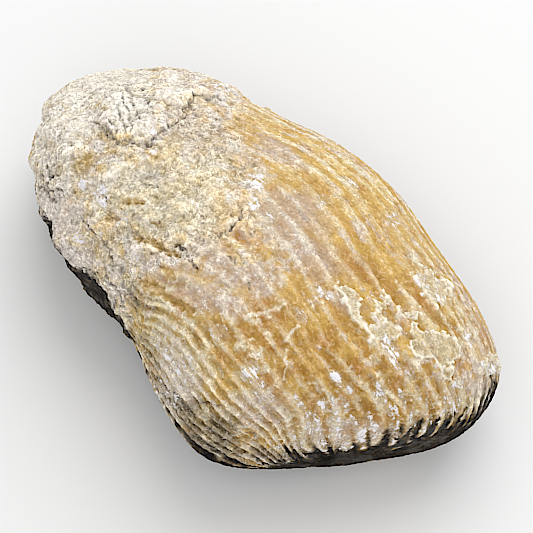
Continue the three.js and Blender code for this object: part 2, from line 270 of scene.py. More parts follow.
# Chalky white places: x, y, radii, turn in degrees, strength.
CHALK = [
    (154, 133, 4, 7, 20, 0.9), (154, 151, 3, 3, 0, 0.8), (86, 182, 6, 7, 0, 0.8),
    (101, 194, 8, 10, 0, 0.8), (122, 220, 8, 6, 0, 0.6), (123, 217, 7, 5, 0, 0.6),
    (78, 241, 6, 8, 0, 0.7), (133, 259, 8, 6, 0, 0.6), (257, 181, 8, 9, 0, 0.9),
    (254, 203, 5, 5, 0, 0.9), (272, 214, 4, 6, -40, 0.7), (222, 87, 8, 6, 30, 0.8),
    (66, 110, 6, 5, 0, 0.5), (469, 337, 4, 8, -15, 0.9), (336, 378, 4, 7, -35, 0.9),
    (350, 389, 3, 4, 0, 0.9), (323, 404, 4, 5, -30, 0.9), (380, 392, 2.5, 8, -15, 0.9),
    (389, 410, 3, 10, -25, 0.8), (336, 420, 5, 10, -20, 0.8), (312, 424, 8, 9, -30, 0.6),
    (322, 441, 6, 8, -25, 0.7), (344, 445, 8, 6, 0, 0.8), (363, 437, 5, 8, 10, 0.8),
    (250, 372, 9, 9, 0, 0.8), (262, 392, 7, 12, -35, 0.5), (388, 345, 5, 7, -20, 0.8),
    (395, 360, 4, 7, -20, 0.8), (410, 372, 4, 8, -25, 0.6), (459, 385, 6, 4, 10, 0.8),
    (486, 369, 8, 5, 15, 0.8), (458, 402, 3, 10, 15, 0.7), (493, 386, 3, 8, 10, 0.6),
    (446, 398, 3, 8, 10, 0.5), (175, 365, 14, 20, -30, 0.45), (290, 335, 5, 3, -60, 0.5),
    (300, 315, 4, 7, -30, 0.5), (318, 290, 9, 4, 30, 0.6), (333, 297, 6, 3, 30, 0.6),
    (215, 330, 12, 6, 30, 0.4), (452, 398, 3, 9, 10, 0.6), (438, 380, 3, 8, -15, 0.5),
    (415, 255, 4, 3, 0, 0.4), (168, 396, 7, 16, -35, 0.6), (160, 345, 8, 14, -30, 0.4),
    (184, 380, 8, 12, -35, 0.5), (300, 404, 2.5, 8, -30, 0.7), (308, 418, 2.2, 8, -30, 0.7),
    (345, 404, 2.2, 8, -28, 0.7), (356, 424, 2.2, 9, -25, 0.8), (370, 420, 2.2, 8, -22, 0.7),
    (332, 402, 2.2, 9, -30, 0.8), (318, 388, 2.2, 7, -30, 0.6), (374, 398, 2.2, 8, -22, 0.6),
    (402, 398, 2.2, 8, -20, 0.6), (418, 392, 2.2, 8, -18, 0.6), (352, 448, 3, 7, -20, 0.7),
    (300, 446, 3, 7, -28, 0.6), (376, 444, 3, 7, -10, 0.7), (392, 432, 2.2, 9, 5, 0.6),
    (410, 420, 2.2, 9, 15, 0.6), (425, 408, 2.2, 9, 15, 0.6), (345, 180, 4, 3, 40, 0.7),
    (352, 184, 6, 3, 40, 0.6), (321, 200, 7, 6, 0, 0.35), (395, 218, 6, 9, -45, 0.4),
]

# Tinted places: x, y, radii, turn, tint, strength. The brown places along the lower edge are
# painted shade there.
TINTS = [
    (118, 88, 44, 28, 10, "white crust", 0.8), (75, 105, 26, 34, 0, "white crust", 0.4),
    (270, 140, 60, 16, 35, "cream", 0.6), (200, 75, 60, 22, 12, "lilac crust", 0.5),
    (275, 108, 40, 14, 35, "violet grey", 0.5), (178, 270, 34, 26, 15, "violet grey", 0.55),
    (70, 262, 26, 24, 20, "lilac crust", 0.8), (60, 130, 32, 45, 0, "white crust", 0.5),
    (135, 115, 26, 20, 0, "white crust", 0.8), (190, 95, 45, 14, 20, "white crust", 0.6),
    (55, 180, 18, 30, 0, "grey crust", 0.5), (60, 215, 24, 32, 0, "lilac crust", 0.7),
    (85, 163, 13, 11, 0, "olive", 0.9), (113, 219, 9, 9, 0, "olive gold", 0.95),
    (99, 132, 9, 6, 0, "pale yellow", 0.6), (130, 201, 12, 5, 0, "olive gold", 0.8),
    (157, 224, 9, 4, 0, "olive gold", 0.7), (160, 248, 26, 9, 30, "olive gold", 0.6),
    (150, 200, 56, 40, 20, "pale olive", 0.7), (88, 165, 14, 12, 0, "olive gold", 0.5),
    (190, 180, 44, 20, 15, "straw", 0.3), (240, 95, 38, 20, 25, "lilac crust", 0.7),
    (175, 272, 30, 22, 15, "lilac crust", 0.6), (200, 120, 40, 14, 20, "violet grey", 0.6),
    (205, 150, 40, 26, 20, "pale olive", 0.4), (172, 275, 12, 8, 0, "olive gold", 0.7),
    (165, 150, 20, 12, 0, "yellow crust", 0.6), (190, 140, 25, 14, 20, "violet grey", 0.45),
    (150, 180, 25, 12, 10, "grey crust", 0.5), (120, 232, 10, 6, 0, "olive", 0.5),
    (205, 205, 30, 40, 0, "cream", 0.5), (235, 165, 16, 10, 0, "brown", 0.25),
    (212, 250, 25, 16, 20, "rosy grey", 0.45), (230, 130, 24, 14, 20, "violet grey", 0.35),
    (250, 130, 18, 14, 0, "ochre", 0.5), (285, 145, 26, 6, 30, "rosy grey", 0.6),
    (300, 225, 36, 24, 40, "violet grey", 0.55), (275, 190, 22, 8, 30, "rosy grey", 0.4),
    (345, 265, 20, 30, -35, "rosy grey", 0.3), (332, 195, 24, 20, 0, "gold", 0.5),
    (368, 272, 16, 24, -35, "deep amber", 0.9), (328, 340, 12, 26, -35, "deep amber", 0.8),
    (303, 380, 14, 26, -35, "deep amber", 0.9), (397, 345, 10, 12, -20, "deep amber", 0.5),
    (362, 410, 14, 20, -20, "deep amber", 0.7), (380, 375, 22, 18, -20, "deep amber", 0.5),
    (340, 365, 18, 22, -30, "deep amber", 0.5), (285, 345, 16, 18, -20, "deep amber", 0.6),
    (432, 318, 12, 18, -10, "yellow green", 0.5), (150, 320, 24, 40, -25, "yellow green", 0.55),
    (155, 302, 12, 5, 25, "yellow green", 0.8), (412, 245, 18, 44, -38, "pale yellow", 0.5),
    (380, 215, 14, 60, -50, "gold", 0.4), (190, 370, 26, 34, -40, "pale yellow", 0.45),
    (205, 435, 16, 34, -50, "brown", 0.75), (240, 445, 26, 12, 20, "brown", 0.4),
    (175, 410, 10, 30, -40, "brown", 0.5), (300, 440, 30, 14, 0, "brown", 0.3),
    (250, 410, 30, 16, 20, "rosy grey", 0.3), (290, 400, 24, 30, -35, "rosy grey", 0.25),
    (470, 360, 14, 26, 0, "rosy grey", 0.25), (476, 398, 24, 22, -30, "cream", 0.9),
    (482, 350, 16, 40, -10, "lilac crust", 0.5), (475, 310, 16, 30, -20, "rosy grey", 0.4),
    (466, 408, 10, 12, -30, "yellow green", 0.6), (115, 265, 12, 14, 0, "grey crust", 0.5),
    (355, 325, 30, 26, -30, "deep amber", 0.4), (300, 330, 24, 26, -30, "deep amber", 0.3),
    (240, 212, 28, 28, 0, "ochre", 0.6), (180, 390, 26, 26, -35, "cream", 0.7),
    (360, 262, 24, 20, -35, "deep amber", 0.4), (300, 440, 24, 16, 0, "cream", 0.5),
    (418, 388, 30, 24, -20, "ochre", 0.4), (150, 435, 14, 30, -30, "brown", 0.5),
    (440, 400, 20, 16, 0, "ochre", 0.4), (205, 440, 20, 22, -48, "brown", 0.7),
]

TINT_COLOURS = {
    "white crust": (243, 237, 225), "lilac crust": (224, 214, 208),
    "grey crust": (214, 206, 192), "yellow crust": (220, 194, 140), "cream": (232, 216, 180),
    "straw": (222, 190, 128), "violet grey": (206, 190, 176), "rosy grey": (204, 177, 150),
    "olive": (188, 160, 92), "olive gold": (180, 140, 60), "pale olive": (212, 197, 158),
    "pale yellow": (230, 214, 172), "yellow green": (222, 208, 154), "ochre": (212, 174, 106),
    "gold": (226, 182, 92), "deep amber": (184, 134, 46), "brown": (132, 112, 80),
}
GROOVE_TINT = (212, 170, 92)
GOLD_GROUND = (226, 186, 106)
YELLOW_TINT = (232, 190, 92)
RUST_TINT = (196, 132, 62)
CREST_TINT = (232, 218, 188)
PALE_SKIN = (222, 203, 158)
LILAC_SKIN = (204, 187, 182)
GOLD_SKIN = (238, 214, 150)
SKIN_STRENGTH = 0.62
FLECK_TINT = (250, 242, 222)
CRUST_TINT = (226, 215, 198)
OCHRE_SPECK = (216, 182, 112)
LILAC_SPECK = (230, 218, 212)
TROUGH_TINT = (208, 168, 90)
SCAB_TINT = (212, 195, 154)
RIM_TINT = (254, 247, 228)
CHALK_GROUND = (214, 198, 172)
# Painted shade: the near-black band below the edge, mottled slate and umber; the browner lower edge
# and its grooves; and the cracks. Beyond the band the underside is dark brown.
SHADE_BLACK = (22, 21, 23)
SHADE_SLATE = (112, 108, 103)
SHADE_UMBER = (92, 80, 64)
GROOVE_SHADE_TINT = (66, 56, 40)
FLANK_SHADE_TINT = (116, 100, 74)
UNDERSIDE_TINT = (104, 90, 70)
CRACK_SHADE_TINT = (60, 50, 46)

# The whole paint is a little darker and greyer than its tints. Hollows get painted shade, warm on
# the shell, and raised places a painted highlight.
GROUND_DEPTH = 0.86
GREYING = 0.07
LUMINANCE = np.array([0.21, 0.72, 0.07])
SHADOW_WARMTH = np.array([-0.1, 0.0, 0.15])

# Too fine for the mesh: chalk, threads, and light added to the paint, as linear colours.
CHALK_TINT = (246, 244, 250)
SHELL_THREAD_TINT = (150, 116, 72)
CRUST_THREAD_TINT = (126, 106, 92)
SHELL_SHADOW = (0.64, 0.59, 0.50, 1.0)
CRUST_SHADOW = (0.58, 0.54, 0.48, 1.0)
MOTTLE_LIGHT = (0.22, 0.20, 0.16, 1.0)
THREAD_LIGHT = (0.38, 0.36, 0.30, 1.0)
FLECK_LIGHT = (0.20, 0.19, 0.16, 1.0)
STONE_ROUGHNESS = 0.85
STONE_SPECULAR = 0.12
BUMP_STRENGTH = 0.5
BUMP_HEIGHT = 0.00015

# Where the pale skin lies thicker over the amber shell, or is worn off it: x, y, radii, turn,
# amount.
VEILS = [
    (364, 268, 26, 30, -35, -0.75), (328, 340, 14, 26, -35, -0.5), (303, 380, 16, 28, -35, -0.6),
    (300, 325, 24, 28, -35, -0.6), (350, 335, 24, 28, -35, -0.7), (295, 385, 26, 30, -35, -0.3),
    (182, 394, 24, 32, -40, 0.7), (342, 315, 62, 50, -35, -0.25), (418, 392, 26, 24, -20, -0.3),
    (397, 345, 12, 14, -20, -0.6), (362, 410, 14, 18, -20, -0.4), (340, 365, 18, 22, -30, -0.5),
    (288, 348, 20, 22, -20, -0.4), (235, 330, 18, 10, 20, -0.4), (230, 360, 14, 10, 0, -0.4),
    (385, 222, 12, 40, -40, -0.4), (350, 248, 10, 34, -40, -0.3), (430, 318, 12, 18, -10, -0.5),
    (203, 328, 8, 18, -35, -0.3), (222, 394, 8, 12, 0, -0.4), (462, 366, 12, 9, 0, -0.4),
    (180, 362, 20, 36, -35, 0.45), (225, 303, 38, 12, 25, 0.45), (262, 405, 30, 26, 0, 0.25),
    (318, 432, 60, 16, 0, 0.2), (400, 425, 46, 12, -25, 0.15), (250, 375, 12, 10, 0, 0.5),
    (432, 350, 26, 30, 0, 0.1), (452, 295, 14, 34, -20, 0.3), (235, 268, 50, 20, 25, 0.35),
    (172, 350, 26, 40, -35, 0.2), (290, 240, 36, 16, 35, 0.45), (300, 140, 80, 14, 36, 0.4),
    (368, 175, 80, 9, 42, 0.4), (478, 388, 14, 26, -10, 0.6), (290, 122, 40, 8, 30, 0.4),
    (258, 185, 16, 30, 0, 0.4), (215, 430, 30, 20, 30, 0.35), (250, 350, 10, 30, -40, 0.2),
    (470, 345, 14, 24, 0, 0.3), (240, 180, 20, 30, 0, 0.2),
]

# Where that skin is lilac grey: x, y, radii, turn.
LILAC_PLACES = [
    (300, 248, 46, 20, 40), (268, 212, 22, 10, 35), (262, 410, 28, 20, 0), (280, 150, 32, 7, 35),
    (345, 300, 20, 10, 30), (215, 300, 34, 14, 20), (350, 432, 50, 12, 0), (232, 268, 50, 20, 25),
    (215, 140, 30, 12, 20), (295, 212, 34, 24, 35), (178, 385, 24, 26, -40),
]

# Places along the lower edge that get painted shade, browner over the place and darker in the
# grooves
# between the ribs: x, y, radii, turn, strength.
SHADED_GROOVE_PLACES = [
    (150, 352, 6, 22, -25, 0.6), (158, 385, 8, 30, -30, 0.6), (192, 418, 14, 34, -44, 1.0),
    (215, 436, 26, 26, -50, 1.0), (263, 454, 16, 8, 25, 0.8), (205, 405, 14, 7, 20, 0.7),
    (130, 290, 8, 30, -25, 0.6), (150, 305, 16, 6, 25, 0.6), (312, 457, 52, 7, -3, 0.95),
    (420, 430, 36, 10, -25, 0.7), (494, 388, 5, 13, 10, 0.6), (440, 420, 18, 6, -35, 0.5),
    (195, 444, 14, 24, -48, 1.0), (214, 436, 9, 44, -56, 1.0), (225, 462, 40, 8, 12, 1.0),
]

# Pale ribs and dark grooves that cross the painted shade's border: half width, how far in
# millimetres the border moves, path.
FINGERS = [
    (2.6, 3.5, [(308, 408), (318, 425), (326, 455)]),
    (3.0, 3.5, [(322, 404), (335, 420), (345, 445)]), (2.2, 3.5, [(361, 428), (363, 446)]),
    (2.6, 3.0, [(374, 416), (378, 438)]), (2.4, 3.5, [(392, 404), (399, 420), (392, 446)]),
    (2.0, 3.5, [(416, 425), (408, 441)]), (2.4, 3.5, [(432, 402), (430, 420), (421, 437)]),
    (2.0, 3.5, [(445, 405), (439, 421)]), (2.2, 3.5, [(459, 395), (450, 414)]),
    (1.8, 3.0, [(472, 398), (463, 417)]), (2.6, 3.2, [(274, 440), (288, 461)]),
    (2.8, 3.2, [(292, 434), (305, 457)]), (2.0, -2.4, [(284, 446), (297, 462)]),
    (2.2, 3.0, [(382, 392), (389, 412)]), (2.6, -3.0, [(314, 400), (325, 425), (331, 452)]),
    (3.4, -2.0, [(346, 398), (362, 428)]), (2.2, -3.0, [(352, 432), (355, 450)]),
    (2.0, -3.0, [(368, 430), (369, 450)]), (2.6, -3.2, [(387, 416), (385, 444)]),
    (2.2, -3.2, [(405, 416), (400, 442)]), (2.4, -3.6, [(423, 419), (413, 436)]),
    (2.4, -3.6, [(440, 417), (430, 431)]), (2.2, -3.4, [(454, 412), (446, 424)]),
    (1.8, -3.0, [(466, 408), (459, 418)]),
]

# The painted shade below the edge, a near-black band: its border's angle at places along the hinge
# side and the opening side.
HINGE_SHADE_BORDER = np.array([
    [0, 10], [1.9, 26], [2.8, 24], [3.5, 28], [4.3, 30], [5.0, 24], [5.8, 12], [6.8, 0], [7.8, -4],
    [8.5, -4], [9.5, -2], [10.5, 1], [11.3, 2], [12, 0], [12.8, -4], [13.3, -4], [13.6, -1],
    [14.0, 4], [14.5, 12], [14.9, 20], [15.4, 36], [15.75, 70], [16, 100],
])
OPENING_SHADE_BORDER = np.array([
    [0, 205], [6, 205], [9, 200], [11, 195], [12, 186], [12.4, 170], [12.7, 167], [13, 169],
    [13.4, 163], [13.8, 150], [14.2, 135], [14.7, 127], [15.1, 127], [15.4, 129], [15.6, 126],
    [15.8, 114], [16, 100],
])
SHADED_TIP = (15.8, 15.98)

# How finely the skin is laid out before it is thinned to its last number of triangles.
ROWS = 640
UPPER_COLUMNS = 720
LOWER_COLUMNS = 320
TRIANGLES = 194000


def smoothstep(value, low, high):
    t = np.clip((value - low) / (high - low), 0.0, 1.0)
    return t * t * (3.0 - 2.0 * t)


def interpolated(value, table):
    return np.interp(value, table[:, 0], table[:, 1])


# Noise

def lattice(ix, iy, iz, seed):
    h = ix.astype(np.uint32) * np.uint32(374761393) + iy.astype(np.uint32) * np.uint32(668265263)
    h = h + iz.astype(np.uint32) * np.uint32(2147483647) + np.uint32(seed) * np.uint32(974634777)
    h = (h ^ (h >> np.uint32(13))) * np.uint32(1274126177)
    return h ^ (h >> np.uint32(16))


def noise(points, size, seed):
    """Smooth noise of about -1 to 1, with lumps of the given size in millimetres."""
    p = points / size
    cell = np.floor(p).astype(np.int64)
    f = (p - cell).astype(np.float32)
    w = f * f * f * (f * (f * 6 - 15) + 10)
    total = np.zeros(len(p), np.float32)
    for corner in range(8):
        d = np.array([corner & 1, corner >> 1 & 1, corner >> 2 & 1])
        h = lattice(cell[:, 0] + d[0], cell[:, 1] + d[1], cell[:, 2] + d[2], seed)
        bits = [(h >> np.uint32(10 * k)) & np.uint32(1023) for k in range(3)]
        slope = [part.astype(np.float32) / 511.5 - 1 for part in bits]
        weight = np.prod(np.where(d, w, 1 - w), axis=1)
        total += weight * sum(slope[k] * (f[:, k] - d[k]) for k in range(3))
    return total * 1.8


def summed(points, size, seed, layers, gain=0.5):
    return sum(gain**i * noise(points, size / 2**i, seed + i) for i in range(layers))


def layered(points, name):
    """The named noise: layers of lumps, each half as wide as the last."""
    return summed(points, *NOISES[name])


# The plain shell

def along(place):
    """The sections' numbers at places along the shell, on smooth curves through them all."""
    place = np.asarray(place, float)
    start = np.minimum(np.floor(place).astype(int), LAST - 1)
    t = (place - start)[:, None]
    before, after = 2 * SECTIONS[0] - SECTIONS[1], 2 * SECTIONS[-1] - SECTIONS[-2]
    whole = np.vstack([before, SECTIONS, after])
    a, b, c, d = (whole[start + k] for k in range(4))
    square, cube = 2 * a - 5 * b + 4 * c - d, 3 * b - a - 3 * c + d
    return 0.5 * (2 * b + (c - a) * t + square * t**2 + cube * t**3)


def plain(place, around):
    """Points of the shell without ribs or crust, as a grid of places by angles."""
    s = along(place)[:, None, :]
    angle = np.asarray(around, float)[None, :]
    lean = s[..., 8] * np.where(angle < LEAN_UP_TO, np.sin(np.pi * angle / LEAN_UP_TO), 0)
    below = -HINGE_SIDE_FAN * np.sin(np.pi * angle / FAN_MIDDLE)
    above = np.sin(np.pi * (angle - FAN_MIDDLE) / (180 - FAN_MIDDLE))
    turned = angle - lean + s[..., 9] * np.where(angle < FAN_MIDDLE, below, above)
    turned = np.radians(np.where(angle > 180, angle, turned))
    up = np.sin(turned)
    shift = np.where(up >= 0, -TOP_TOWARDS_HINGE, BOTTOM_TOWARDS_OPENING) * up**2
    across = (1 - np.cos(turned)) / 2 + shift
    shoulder = HINGE_SHOULDER + (OPENING_SHOULDER - HINGE_SHOULDER) * across
    reach = np.maximum(np.where(up >= 0, s[..., 6], s[..., 7]), 0) * np.sign(up)
    x = s[..., 0] + (s[..., 2] - s[..., 0]) * across
    y = s[..., 1] + (s[..., 3] - s[..., 1]) * across
    z = s[..., 4] + (s[..., 5] - s[..., 4]) * across + reach * np.abs(up) ** shoulder
    return np.stack([x, y, z], -1)


def outward(grid):
    ahead = np.gradient(grid, axis=0)
    onward = np.roll(grid, -1, 1) - np.roll(grid, 1, 1)
    normal = np.cross(ahead, onward)
    return normal / np.maximum(np.linalg.norm(normal, axis=-1, keepdims=True), 1e-9)


def spot(place, around):
    return plain([place], [around])[0, 0]


# Relief that the solid has too

def crust_cover(place, around, points, waver):
    reach = interpolated(around, CRUST_BORDER)[None, :] + waver
    whole, end = REST_PATCH[2:]
    away = np.linalg.norm(points - spot(*REST_PATCH[:2]), axis=-1)
    bare = smoothstep(place[:, None], reach, reach + CRUST_FADE) * smoothstep(away, whole, end)
    return 1 - bare


def rib_wave(angle):
    """0 in the grooves and 1 on the crests, and the number of each rib."""
    index = np.clip(np.searchsorted(GROOVES, angle, side="left"), 1, len(GROOVES) - 1)
    start, end = GROOVES[index - 1], GROOVES[index]
    return 0.5 - 0.5 * np.cos(2 * np.pi * (angle - start) / (end - start)), index - 1


def growth_line(place, angle):
    """The growth line through each point. Over the end face the lines spread instead of meeting."""
    share = interpolated(place, END_FACE_SHARE)[:, None]
    turned = np.where(angle > 270, angle - 360, angle)
    return np.mod(END_FACE_LINE + (turned - END_FACE_LINE) * share, 360)


def rib_spacing(place, index):
    width = np.linalg.norm(np.diff(plain(place, GROOVES), axis=1), axis=-1)
    return np.take_along_axis(width, index, axis=1) / interpolated(place, END_FACE_SHARE)[:, None]


def from_seam(around):
    """The angle from each point to the seam on the nearer side."""
    return np.minimum(np.minimum(around, np.abs(around - 180)), 360 - around)


def seam(around):
    return -SEAM_DEPTH * (1 - smoothstep(from_seam(around), 0, SEAM_HALF_WIDTH))


def unevenness(points):
    total = np.zeros(points.shape[:-1])
    for i in range(SWELL_COUNT):
        turn = SWELL_TURN * i
        swell = LONGEST_SWELL + (SHORTEST_SWELL - LONGEST_SWELL) * i / (SWELL_COUNT - 1)
        run = points @ np.array([math.cos(turn), math.sin(turn), math.cos(SWELL_TILT * i)])
        total += np.sin(2 * np.pi * run / swell + i)
    return CRUST_UNEVENNESS * total


def lump_height(points):
    highest, deepest = np.zeros((2, *points.shape[:-1]))
    for place, around, top, foot, height in LUMPS:
        away = np.linalg.norm(points - spot(place, around), axis=-1)
        share = (1 - smoothstep(away, top, foot)) * height
        highest = np.maximum(highest, share)
        deepest = np.minimum(deepest, share)
    return highest + deepest


# The camera's view of a point, in the photograph's pixels

def camera_axes():
    a, e = CAMERA_AZIMUTH, CAMERA_ELEVATION
    right = np.array([math.cos(a), math.sin(a), 0.0])
    back = np.array([math.sin(a) * math.cos(e), -math.cos(a) * math.cos(e), math.sin(e)])
    return right, np.cross(back, right), back


def seen_at(points):
    """The pixel at which the camera sees each point."""
    right, up, back = camera_axes()
    offset = points - CAMERA_AIM
    near = offset @ back
    scale = PIXELS_PER_MM * CAMERA_DISTANCE / (CAMERA_DISTANCE - near)
    return PHOTO_MIDDLE + scale * (offset @ right), PHOTO_MIDDLE - scale * (offset @ up)


# Marks laid on the surface through the camera

def path_distance(x, y, path, closed=False):
    """Distance of each point from a path, and how far along it the nearest spot is."""
    corners = np.array(path + path[:1] if closed else path, float)
    best = np.full(x.shape, 1e9)
    where = np.zeros(x.shape)
    lengths = np.linalg.norm(np.diff(corners, axis=0), axis=1)
    done = np.concatenate([[0], np.cumsum(lengths)])
    for i, length in enumerate(lengths):
        ax, ay = corners[i]
        dx, dy = (corners[i + 1] - corners[i]) / length
        t = np.clip((x - ax) * dx + (y - ay) * dy, 0, length)
        away = np.hypot(x - ax - t * dx, y - ay - t * dy)
        nearer = away < best
        best = np.where(nearer, away, best)
        where = np.where(nearer, done[i] + t, where)
    return best, where / done[-1]


def inside(x, y, path):
    """Whether each point lies inside a closed path."""
    result = np.zeros(x.shape, bool)
    for (ax, ay), (bx, by) in zip(path, path[1:] + path[:1]):
        if ay == by:
            continue
        crosses = (ay > y) != (by > y)
        result ^= crosses & (x < (bx - ax) * (y - ay) / (by - ay) + ax)
    return result


def near_box(x, y, path, margin):
    corners = np.array(path, float)
    low, high = corners.min(0) - margin, corners.max(0) + margin
    return (x > low[0]) & (x < high[0]) & (y > low[1]) & (y < high[1])


def oval(x, y, middle_x, middle_y, radius_x, radius_y, turn):
    """How far out each point is from the middle of an oval: 1 on its edge."""
    c, s = math.cos(math.radians(turn)), math.sin(math.radians(turn))
    dx, dy = x - middle_x, y - middle_y
    return np.hypot((dx * c + dy * s) / radius_x, (-dx * s + dy * c) / radius_y)


def strokes(marks, x, y, facing, whole, end):
    """For each mark, the points near its line, its size, and how fully they belong to it: wholly
    and no more at these shares of its half width."""
    for half, size, path in marks:
        here = np.flatnonzero(near_box(x, y, path, 4 * half) & (facing > 0))
        away = path_distance(x[here], y[here], path)[0]
        yield here, size, 1 - smoothstep(away, whole * half, end * half)


def raise_to(field, here, value):
    field[here] = np.maximum(field[here], value)


def mark_relief(points, facing, ragged):
    """Height of the marks, and how dark, amber, white, scabbed or rimmed they make each point."""
    across, down, broken = ragged
    x, y = seen_at(points)
    x, y = x + MARK_WAVER * across, y + MARK_WAVER * down
    height, dark, amber, white, scab, rims = np.zeros((6, len(points)))

    here = np.flatnonzero(near_box(x, y, LEDGE, LEDGE_REACH) & (facing > 0))
    away, along_ledge = path_distance(x[here], y[here], LEDGE)
    plate = inside(x[here], y[here], LEDGE + PLATE_BACK)
    ends_fade = smoothstep(along_ledge, 0.0, 0.1) * (1 - smoothstep(along_ledge, 0.85, 1.0))
    rise = (1 - smoothstep(away, 0, LEDGE_RUN)) * smoothstep(away, -0.5, 1.5)
    height[here] += LEDGE_HEIGHT * np.where(plate, rise, 0) * ends_fade * facing[here]
    foot = (1 - smoothstep(away, 0.3, 2.4)) * np.where(plate, 0.35, 1) * ends_fade * facing[here]
    foot = foot * (0.75 + 0.25 * np.clip(1.5 * broken[here], -1, 1))
    height[here] -= LEDGE_CREASE * foot
    raise_to(dark, here, LEDGE_SHADOW * foot)

    # Cracks are cut in and darkened: painted shade in them, as at the ledge's foot.
    for here, depth, share in strokes(CRACKS, x, y, facing, 0.2, 1.2):
        share = share * facing[here] * np.clip(0.85 + 0.7 * broken[here], 0, 1)
        height[here] -= CRACK_DEPTH_LEFT * depth * share
        raise_to(dark, here, share)
    for here, depth, share in strokes(TROUGHS, x, y, facing, 0.4, 1.5):
        height[here] -= depth * share * facing[here]
        raise_to(amber, here, share * facing[here])
    for here, rise, share in strokes(VEINS, x, y, facing, 0.3, 1.6):
        height[here] += rise * share * facing[here]
        raise_to(rims, here, 0.6 * share * facing[here])
    for rise, whiteness, path in FLAKES:
        here = np.flatnonzero(near_box(x, y, path, FLAKE_REACH) & (facing > 0))
        hx, hy = x[here] + FLAKE_WAVER * broken[here], y[here] + FLAKE_WAVER * across[here]
        away = path_distance(hx, hy, path, closed=True)[0]
        away = np.where(inside(hx, hy, path), away, -away)
        body = smoothstep(away, -1.5, 1.5) * facing[here]
        rim = (1 - smoothstep(np.abs(away - 1.2), 0.8, 2.4)) * facing[here]
        rim = rim * np.clip(0.9 + 0.9 * down[here], 0, 1)
        height[here] += rise * (0.7 * body + 0.5 * rim + 0.35 * body * down[here])
        raise_to(scab, here, body * np.clip(0.9 + 0.5 * across[here], 0, 1))
        raise_to(rims, here, rim)
        raise_to(white, here, whiteness * body * (0.5 + 0.8 * broken[here]))
    return height, dark, amber, white, scab, rims


def blurred(field, rows, columns):
    """The field averaged over a box of rows and columns, round the columns and held at the ends."""
    sums = np.cumsum(np.pad(field, ((rows + 1, rows), (0, 0)), mode="edge"), axis=0)
    field = (sums[2 * rows + 1:] - sums[:-2 * rows - 1]) / (2 * rows + 1)
    sums = np.cumsum(np.pad(field, ((0, 0), (columns + 1, columns)), mode="wrap"), axis=1)
    return (sums[:, 2 * columns + 1:] - sums[:, :-2 * columns - 1]) / (2 * columns + 1)


def depth_past_shade_border(place, around, grid):
    """How far each point lies past the painted shade's border, in millimetres along its section."""
    steps = np.linalg.norm(np.roll(grid, -1, 1) - grid, axis=-1)
    arc = np.concatenate([np.zeros((len(place), 1)), np.cumsum(steps, axis=1)], axis=1)
    whole = arc[:, -1:]
    angles = np.append(around, 360.0)
    rows = np.arange(len(place))

    def arc_at(border):
        turned = np.mod(border, 360)
        column = np.clip(np.searchsorted(angles, turned) - 1, 0, len(around) - 1)
        part = (turned - angles[column]) / (angles[column + 1] - angles[column])
        reached = arc[rows, column] * (1 - part) + arc[rows, column + 1] * part
        return reached[:, None] + whole * (border[:, None] // 360)

    hinge = arc_at(interpolated(place, HINGE_SHADE_BORDER) + 360)
    opening = arc_at(interpolated(place, OPENING_SHADE_BORDER))
    run = arc[:, :-1] + whole * (around[None, :] < 90)
    past = np.minimum(hinge - run, run - opening)
    return past + 3 * smoothstep(place[:, None], *SHADED_TIP)


# The fine skin

def faint_ribs(place, around):
    """How fully each point lies on the smooth part of the upper valve, where the ribs are faint."""
    return smoothstep(around, 85, 115) * (1 - smoothstep(place, 8.5, 11.5)) * (around < 180)


def rib_strength(place, around, depth, index, field):
    """How high the ribs stand. Each has its own height and is worn in places. They are lower where
    the shell is smooth, far, in the painted shade band or turns its corner, and end at the bottom
    and the tip."""
    own = 0.75 + 0.5 * np.modf(np.abs(np.sin(np.arange(len(GROOVES)) * 12.9)) * 43.7)[0]
    upper = around < 180
    flank = (1 - smoothstep(around, 55, 80)) * upper
    far = smoothstep(around, 120, 150) * upper * (1 - smoothstep(place, 12.0, 13.0))
    corner = smoothstep(around, 128, 146) * upper * smoothstep(place, 11.8, 12.6)
    shade_band = smoothstep(depth, 0.0, 4.0) * (1 - smoothstep(depth, 14, 22))
    bottom = smoothstep(place, 11.0, 13.0) * (1 - smoothstep(np.abs(around - 270), 8, 40))
    strength = 0.3 + 0.26 * smoothstep(place, 10.5, 13.5) + 0.3 * field("rib height")
    worn = 1 + 0.9 * field("rib wear") + 0.5 * field("rib wear detail")
    strength = own[index] * strength * np.clip(worn, 0.1, 1.8)
    strength = strength * (1 - 0.45 * faint_ribs(place, around)) * (1 + 0.25 * flank)
    strength = strength * (1 - 0.85 * shade_band)
    strength = strength * (1 - bottom) * (1 - 0.9 * smoothstep(place, 14.8, 15.6))
    return strength * (1 - 0.5 * far) * (1 - 0.55 * corner)


